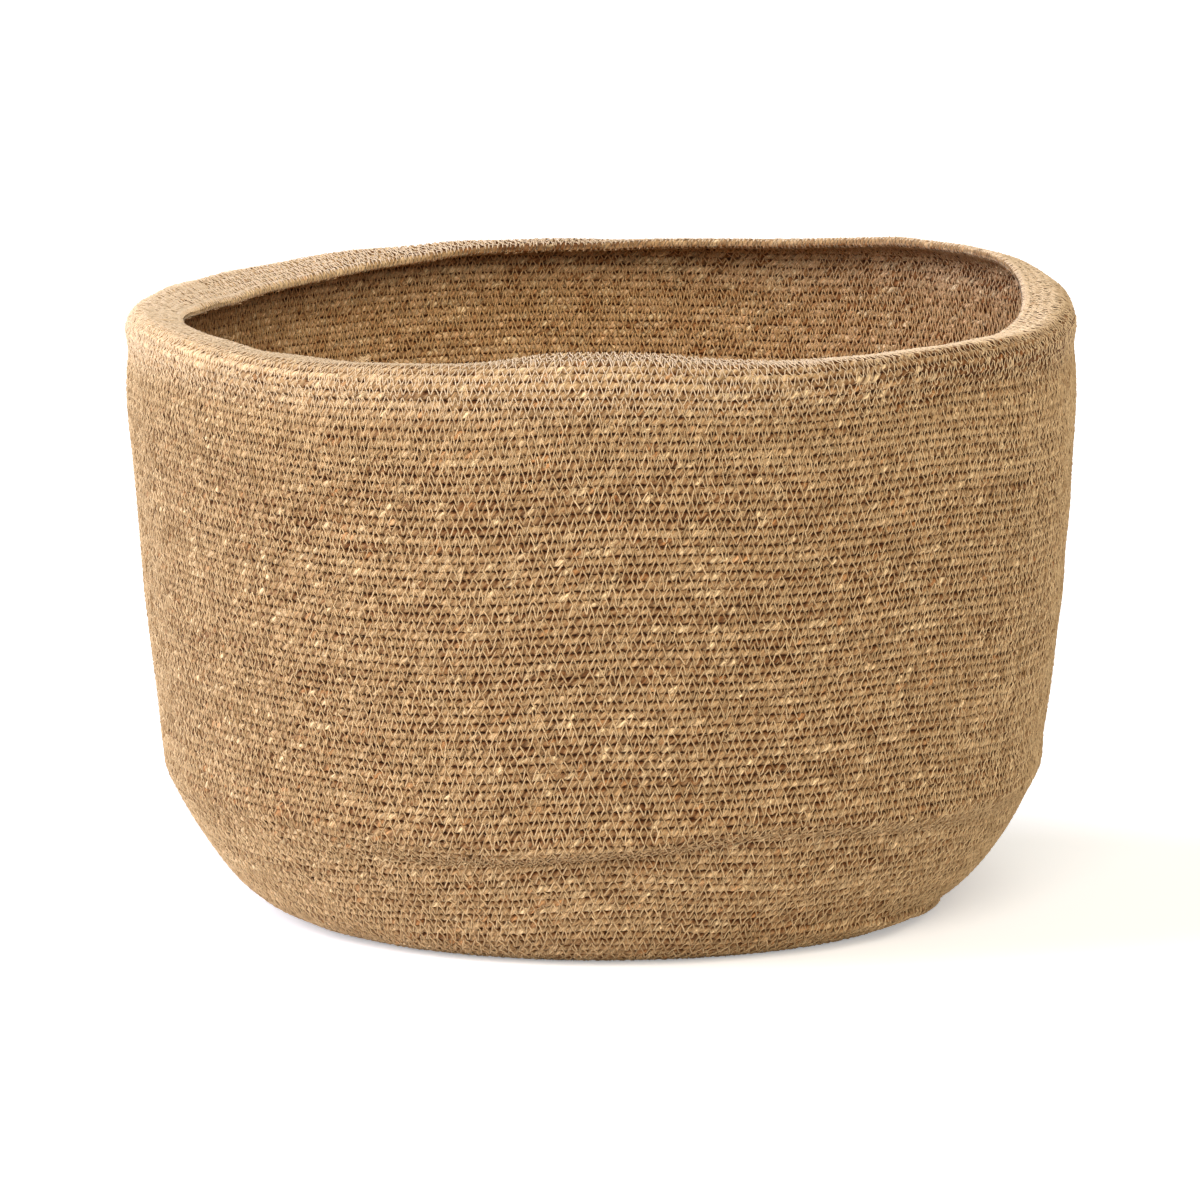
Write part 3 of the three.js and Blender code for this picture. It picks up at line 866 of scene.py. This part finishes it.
cordLook = {
    # The darkest stops give the painted shade of the grooves, seams and gaps
    "shades": {0.001: (84, 44, 18), 0.25: (112, 72, 40), 0.6: (174, 138, 96), 0.999: (228, 194, 149)},
    "pale": (240, 208, 160),
    "russet": (188, 120, 64),
    "fineness": 1.25,
    "streakDark": 0.4,
    "streakLight": 1.5,
    "roughLow": 0.5,
    "roughHigh": 0.85,
    "bumpStrength": 0.6,
    "bumpDepth": 0.25,
    "specular": 0.1,
}
threadLook = {
    "shades": {0.001: (150, 113, 70), 0.999: (238, 204, 156)},
    "pale": (237, 212, 182),
    "russet": (206, 152, 90),
    "fineness": 1.6,
    "streakDark": 0.75,
    "streakLight": 1.15,
    "roughLow": 0.55,
    "roughHigh": 0.8,
    "bumpStrength": 0.4,
    "bumpDepth": 0.12,
    "specular": 0.12,
}
seagrass = fibreMaterial("twistedSeagrass", cordLook)
cotton = fibreMaterial("sewingCotton", threadLook)


def addPiece(piece, slot, *nodes):
    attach(piece, "root")
    if nodes:
        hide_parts(*nodes)


def cordStretch(node, fromTurn, toTurn):
    first = round(float(alongAt(fromTurn)) / rows["ringStep"])
    last = round(float(alongAt(toTurn)) / rows["ringStep"])
    for begin, end, ending in cutUp(first, last, rows["mostRings"]):
        along = np.arange(begin, end + 1) * rows["ringStep"]
        turn = turnAlong(along)
        ones = np.ones_like(along)
        made = cordSection(fullTurn * turn, distanceAt(turn), 0 * ones, ones, along)
        piece = tubeMesh(f"{node}_cord{ending}", *made, seagrass)
        addPiece(piece, "seagrass_cord", node)


edgeRowStart = lastTurn - rows["edgeRowAngle"] / 360
rowStretches = {
    "coil_start": (-rows["innerTurns"], rows["coilTurns"]),
    "base_disc": (rows["coilTurns"], turnAt(floorEnd)),
    "foot_bend": (turnAt(floorEnd), turnAt(footEnd)),
    "heel": (turnAt(footEnd), turnAt(kinkEnd)),
    "lower_wall": (turnAt(kinkEnd), turnAt(wallMiddle)),
    "upper_wall": (turnAt(wallMiddle), turnAt(wallEnd)),
    "rim_shoulder": (turnAt(wallEnd), turnAt(shoulderEnd)),
    "rim_lip": (turnAt(shoulderEnd), edgeRowStart),
    "edge_row": (edgeRowStart, lastTurn),
}
for node, (fromTurn, toTurn) in rowStretches.items():
    cordStretch(node, fromTurn, toTurn)
print("cord rows made")

# The cord's cut end dips under the lip and tapers off against its underside
cordTail = {"length": 52, "dip": 12, "tipShare": 0.3, "gap": 0.3}


def tuckedTail():
    along = np.arange(0, cordTail["length"] + rows["ringStep"] / 2, rows["ringStep"])
    share = along / cordTail["length"]
    dipShare = cordTail["dip"] / cordTail["length"]
    dipped = smoothBetween(share, 0, dipShare)
    inward = smoothBetween(share, dipShare, 1)
    mouthRadius = float(profileAt(edgeDistance)[0])
    azimuth = fullTurn * lastTurn + along / mouthRadius
    distance = edgeDistance - profile["cordDiameter"] * inward
    height = -(profile["cordDiameter"] + cordTail["gap"]) * dipped
    scale = 1 + (cordTail["tipShare"] - 1) * inward
    made = cordSection(azimuth, distance, height, scale, cordLength + along)
    addPiece(tubeMesh("cord_tail_end", *made, seagrass), "seagrass_cord", "cord_tail")


tuckedTail()
print("cord's end made, stitches to make:", punctureCount // 2)


def strands(azimuth, distance, height, along, shade, radius, pale=0, russet=0, flatness=1):
    # Thin strands along paths over the surface, one path to each row of the arrays
    middle = wallPoint(azimuth, distance, height)
    normal = wallPoint(azimuth, distance, height + 1) - middle
    ahead = np.gradient(middle, axis=1)
    ahead /= np.linalg.norm(ahead, axis=2, keepdims=True)
    side = np.cross(ahead, normal)
    side /= np.linalg.norm(side, axis=2, keepdims=True) + 1e-9
    up = np.cross(side, ahead)
    turnRound = fullTurn * np.arange(stitch["sides"]) / stitch["sides"]
    ring = (up[..., None, :] * flatness * np.cos(turnRound)[:, None]
            - side[..., None, :] * np.sin(turnRound)[:, None])
    points = middle[..., None, :] + (radius * np.ones_like(along))[..., None, None] * ring
    flat = shade[..., None] + 0 * turnRound
    tone = np.stack([(pale + 0 * shade)[..., None] + 0 * turnRound, russet + 0 * flat, flat], -1)
    fibre = np.stack([
        along[..., None] + 0 * turnRound,
        0 * flat + np.cos(turnRound),
        distance[..., None] + np.sin(turnRound)], -1)
    made = pressed(points, stitch["pressedTo"]), tone, fibre
    return [a.reshape(-1, stitch["sides"], 3) for a in made]


def threadRun(first, last, face, shares, heights):
    # Rings along each stroke, from one puncture to the next; face is 1 outside and -1 inside
    here = np.arange(first, last)
    share = np.asarray(shares)[None, :]
    along = punctureAlong[here][:, None] * (1 - share) + punctureAlong[here + 1][:, None] * share
    across = punctureAcross[here][:, None] * (1 - share) + punctureAcross[here + 1][:, None] * share
    bow = strokeSlack[here][:, None] * 4 * share * (1 - share)
    height = np.asarray(heights)[None, :] + bow
    shade = np.broadcast_to(threadShade[here][:, None], along.shape)
    along, across, height, shade = (a.reshape(1, -1) for a in (along, across, height, shade))
    turn = turnAlong(along)
    azimuth = fullTurn * turn
    distance = distanceAt(turn - 0.5) + across      # the seam is half a row back
    height = height + stitch["lipRaise"] * onLip(distance)
    # Painted light on the rim, lip and heel, and more painted light on the inside thread
    shade = shade + paintedLight(azimuth, distance) + stitch["insideLighter"] * (face < 0)
    radius = stitch["threadRadius"] - stitch["rimThin"] * rimShare(distance)
    # painted sheen round the rim and on the lip
    pale = paintedRimSheen(azimuth, distance)
    return strands(azimuth, distance, face * height, along, shade, radius, pale,
                   stitch["insideRusset"] * (face < 0), stitch["flatness"])


overCrest = cordRadius + stitch["overCrest"]
crestShares = [0, stitch["crestShare"], 0.5, 1 - stitch["crestShare"]]
outsideRun = (crestShares, [stitch["sunk"], overCrest, cordRadius + stitch["overSeam"], overCrest])
insideRun = ([0, stitch["crestShare"], 1 - stitch["crestShare"]], [stitch["sunk"], overCrest, overCrest])


def threadStretch(label, fromTurn, toTurn, *nodes):
    first, last = np.searchsorted(punctureAlong, [alongAt(fromTurn), alongAt(toTurn)])
    last = min(last, punctureCount - 1)
    for begin, end, ending in cutUp(first, last, stitch["mostStrokes"]):
        for face, word, run in ((1, "outside", outsideRun), (-1, "inside", insideRun)):
            made = threadRun(begin, end, face, *run)
            piece = tubeMesh(f"{label}_{word}_thread{ending}", *made, cotton)
            addPiece(piece, "sewing_thread", *(nodes if face == 1 else ()))


threadStretch("base", stitch["firstTurn"], turnAt(floorEnd))
threadStretch("heel", turnAt(floorEnd), turnAt(kinkEnd))
threadStretch("lower_wall", turnAt(kinkEnd), turnAt(wallMiddle))
threadStretch("upper_wall", turnAt(wallMiddle), turnAt(wallEnd))
threadStretch("rim", turnAt(wallEnd), lastTurn, "edge_seam_thread")

# The same thread binds the lip's edge, round and round the last row
edgeBinding = {
    "step": 2,
    "threadRadius": 0.32,
    "jitter": 0.16,
    "angles": [-75, -35, 10, 60, 110, 165],
    "over": 0.22,
    "shade": 0.62,
    "shadeSpread": 0.14,
}


def bindEdge():
    rng = np.random.default_rng(seeds["binding"])
    start, end = float(alongAt(lastTurn - 1)), float(alongAt(lastTurn))
    wraps = int((end - start) / edgeBinding["step"])
    starts = start + edgeBinding["step"] * (
        np.arange(wraps) + edgeBinding["jitter"] * rng.normal(0, 1, wraps))
    angles = np.radians(edgeBinding["angles"])
    steps = edgeBinding["step"] * np.arange(len(angles)) / len(angles)
    along = (starts[:, None] + steps).reshape(1, -1)
    angle = np.tile(angles, (1, wraps))
    turn = turnAlong(along)
    reach = cordRadius + edgeBinding["over"]
    distance = distanceAt(turn) + reach * np.sin(angle)
    draws = rng.normal(edgeBinding["shade"], edgeBinding["shadeSpread"], (1, wraps))
    shade = np.repeat(np.clip(draws, 0, 1), len(angles), 1)
    # the same painted sheen as on the rim
    pale = paintedRimSheen(fullTurn * turn, distance)
    made = strands(fullTurn * turn, distance, reach * np.cos(angle), along, shade,
                   edgeBinding["threadRadius"], pale)
    addPiece(tubeMesh("edge_binding_thread", *made, cotton), "sewing_thread")


bindEdge()
print("threads made")

# Loose ends of fibre that stand off the cord, short fuzz and a few long ones
looseFibres = {
    "rings": 6,
    "taper": 0.6,
    "slant": 0.8,           # away from the run of the rows, either way
    "bend": 0.7,
    "bow": 0.4,
    "rooted": 0.3,
    "least": 0.3,
    "curl": (0.5, 1.6),
    "shade": 0.75,
    "shadeSpread": 0.15,
}
onWall, onRim, nearEdge = (footEnd, wallEnd), (wallEnd, edgeDistance), (edgeDistance - 3, edgeDistance - 1)
fibreKinds = {
    "wall_fuzz": {"count": 5000, "span": onWall, "lengths": (1.5, 5), "rise": 0.9, "radius": 0.09},
    "rim_fuzz": {"count": 500, "span": onRim, "lengths": (1.5, 5), "rise": 0.9, "radius": 0.08},
    "wall_fibres": {"count": 260, "span": onWall, "lengths": (4, 14), "rise": 1.6, "radius": 0.13},
    "rim_fibres": {"count": 160, "span": onRim, "lengths": (4, 16), "rise": 2.4, "radius": 0.13},
    "inside_fibres": {"count": 220, "span": (kinkEnd, wallEnd), "lengths": (4, 14), "rise": 1.8,
                      "radius": 0.13, "face": -1},
    "rim_tuft": {"count": 34, "span": nearEdge, "lengths": (2, 4), "rise": 3.2, "radius": 0.22,
                 "sector": (236.6, 238)},
    "lip_strands": {"count": 5, "span": nearEdge, "lengths": (4, 8), "rise": 4, "radius": 0.2,
                    "sector": (120, 123)},
}


def makeFibres(name, seed, count, span, lengths, rise, radius, face=1, sector=(0, 360)):
    rng = np.random.default_rng(seed)
    loose = looseFibres
    share = np.linspace(0, 1, loose["rings"])[None, :]

    def draw(low, high):
        return rng.uniform(low, high, (count, 1))

    def drawAround(middle, spread):
        return rng.normal(middle, spread, (count, 1))

    distance, azimuth = draw(*span), draw(*np.radians(sector))
    length = lengths[0] + (lengths[1] - lengths[0]) * draw(0, 1) ** 2
    heading = drawAround(0, loose["slant"]) + math.pi * rng.integers(0, 2, (count, 1))
    heading = heading + drawAround(0, loose["bend"]) * share
    azimuth = azimuth + length * share * np.cos(heading) / profileAt(distance)[0]
    distance = np.minimum(distance + length * share * np.sin(heading), edgeDistance)
    bow = drawAround(0, loose["bow"]) * share * (1 - share)
    risen = rise * draw(loose["least"], 1) * share ** draw(*loose["curl"])
    height = cordRadius - loose["rooted"] + risen + bow
    shade = np.clip(drawAround(loose["shade"], loose["shadeSpread"]) + 0 * share, 0, 1)
    thin = radius * (1 - loose["taper"] * share)
    made = strands(azimuth, distance, face * height, length * share, shade, thin)
    addPiece(tubeMesh(name, *made, cotton, loose["rings"]), "sewing_thread")


for seed, (name, kind) in enumerate(fibreKinds.items(), seeds["firstFibre"]):
    makeFibres(name, seed, **kind)
print("loose fibres made")

# A pale floor, two wide soft lights and an even world
studio = {
    "floorReach": 14,       # in metres, each way
    "floorWhite": 0.92,
    "floorRoughness": 0.9,
    "floorGlow": 0.35,
    "worldStrength": 0.32,
    "lightSpread": 50,
}
# Strength, height above the horizon and angle left of the camera
softLights = {"key": (3.36, 22.5, 85), "fill": (2.4, 34, -12)}
lightColours = {"key": (1, 1.065, 1.31), "fill": (1, 0.97, 0.88), "world": (1, 0.93, 0.81)}


def makeFloor():
    half = studio["floorReach"]
    mesh = bpy.data.meshes.new("studioFloor")
    mesh.from_pydata([(-half, -half, 0), (half, -half, 0), (half, half, 0), (-half, half, 0)],
                     [], [(0, 1, 2, 3)])
    material = bpy.data.materials.new("palePaper")
    material.use_nodes = True
    nodes, links = material.node_tree.nodes, material.node_tree.links
    shader = nodes["Principled BSDF"]
    shader.inputs["Roughness"].default_value = studio["floorRoughness"]
    shader.inputs["Specular IOR Level"].default_value = 0
    path = nodes.new("ShaderNodeLightPath")
    factor, plain, white, out = colourMix(nodes)
    links.new(path.outputs["Is Camera Ray"], factor)
    plain.default_value = [studio["floorWhite"]] * 3 + [1]
    white.default_value = [1, 1, 1, 1]
    links.new(out, shader.inputs["Base Color"])
    glow = nodes.new("ShaderNodeMath")
    glow.operation = "MULTIPLY"
    glow.inputs[1].default_value = studio["floorGlow"]
    links.new(path.outputs["Is Camera Ray"], glow.inputs[0])
    shader.inputs["Emission Color"].default_value = (1, 1, 1, 1)
    links.new(glow.outputs[0], shader.inputs["Emission Strength"])
    mesh.materials.append(material)
    floor = intoScene("studioFloor", mesh)


def makeLamp(name, strength, height, side):
    lamp = bpy.data.lights.new(name, "SUN")
    lamp.energy = strength
    lamp.angle = math.radians(studio["lightSpread"])
    lamp.color = lightColours[name]
    holder = intoScene(name, lamp)
    height, side = math.radians(height), math.radians(side)
    flat = math.cos(height)
    toLamp = Vector((-math.sin(side) * flat, -math.cos(side) * flat, math.sin(height)))
    holder.rotation_mode = "QUATERNION"
    holder.rotation_quaternion = toLamp.to_track_quat("Z", "Y")


def makeWorld():
    world = bpy.data.worlds.new("evenWorld")
    bpy.context.scene.world = world
    world.use_nodes = True
    nodes, links = world.node_tree.nodes, world.node_tree.links
    path = nodes.new("ShaderNodeLightPath")
    shown, either = nodes.new("ShaderNodeMath"), nodes.new("ShaderNodeMath")
    shown.operation = either.operation = "MAXIMUM"
    links.new(path.outputs["Is Camera Ray"], shown.inputs[0])
    links.new(path.outputs["Is Glossy Ray"], shown.inputs[1])
    links.new(shown.outputs[0], either.inputs[0])
    links.new(path.outputs["Is Transmission Ray"], either.inputs[1])
    strength = nodes.new("ShaderNodeMapRange")
    strength.inputs["To Min"].default_value = studio["worldStrength"]
    strength.inputs["To Max"].default_value = 1
    links.new(either.outputs[0], strength.inputs["Value"])
    links.new(strength.outputs["Result"], nodes["Background"].inputs["Strength"])
    seen, dim, plain, colour = colourMix(nodes)
    dim.default_value = (*lightColours["world"], 1)
    plain.default_value = (1, 1, 1, 1)
    links.new(either.outputs[0], seen)
    links.new(colour, nodes["Background"].inputs["Color"])


# The photograph's view: far off, with a long lens, a little above the rim
view = {
    "aimHeight": 130,
    "distance": 4800,
    "elevation": 9.8,
    "focalPixels": 11376,
    "framePixels": 1200,
    "aimPixel": (602, 594),
    "sensor": 36,
    "farthest": 100,        # in metres
}


def makeCamera():
    data = bpy.data.cameras.new("camera")
    data.sensor_width = view["sensor"]
    data.lens = view["focalPixels"] / view["framePixels"] * data.sensor_width
    middle = view["framePixels"] / 2
    data.shift_x = (middle - view["aimPixel"][0]) / view["framePixels"]
    data.shift_y = (view["aimPixel"][1] - middle) / view["framePixels"]
    data.clip_end = view["farthest"]
    camera = intoScene("camera", data)
    tilt = math.radians(view["elevation"])
    far = view["distance"] * mm
    aim = basketAxis * mm + np.array([0, 0, view["aimHeight"] * mm])
    camera.location = aim + far * np.array([0, -math.cos(tilt), math.sin(tilt)])
    camera.rotation_euler = (math.pi / 2 - tilt, 0, 0)
    bpy.context.scene.camera = camera


makeFloor()
for name, (strength, height, side) in softLights.items():
    makeLamp(name, strength, height, side)
makeWorld()
makeCamera()
bpy.context.scene.view_settings.view_transform = "Standard"
print("studio ready")
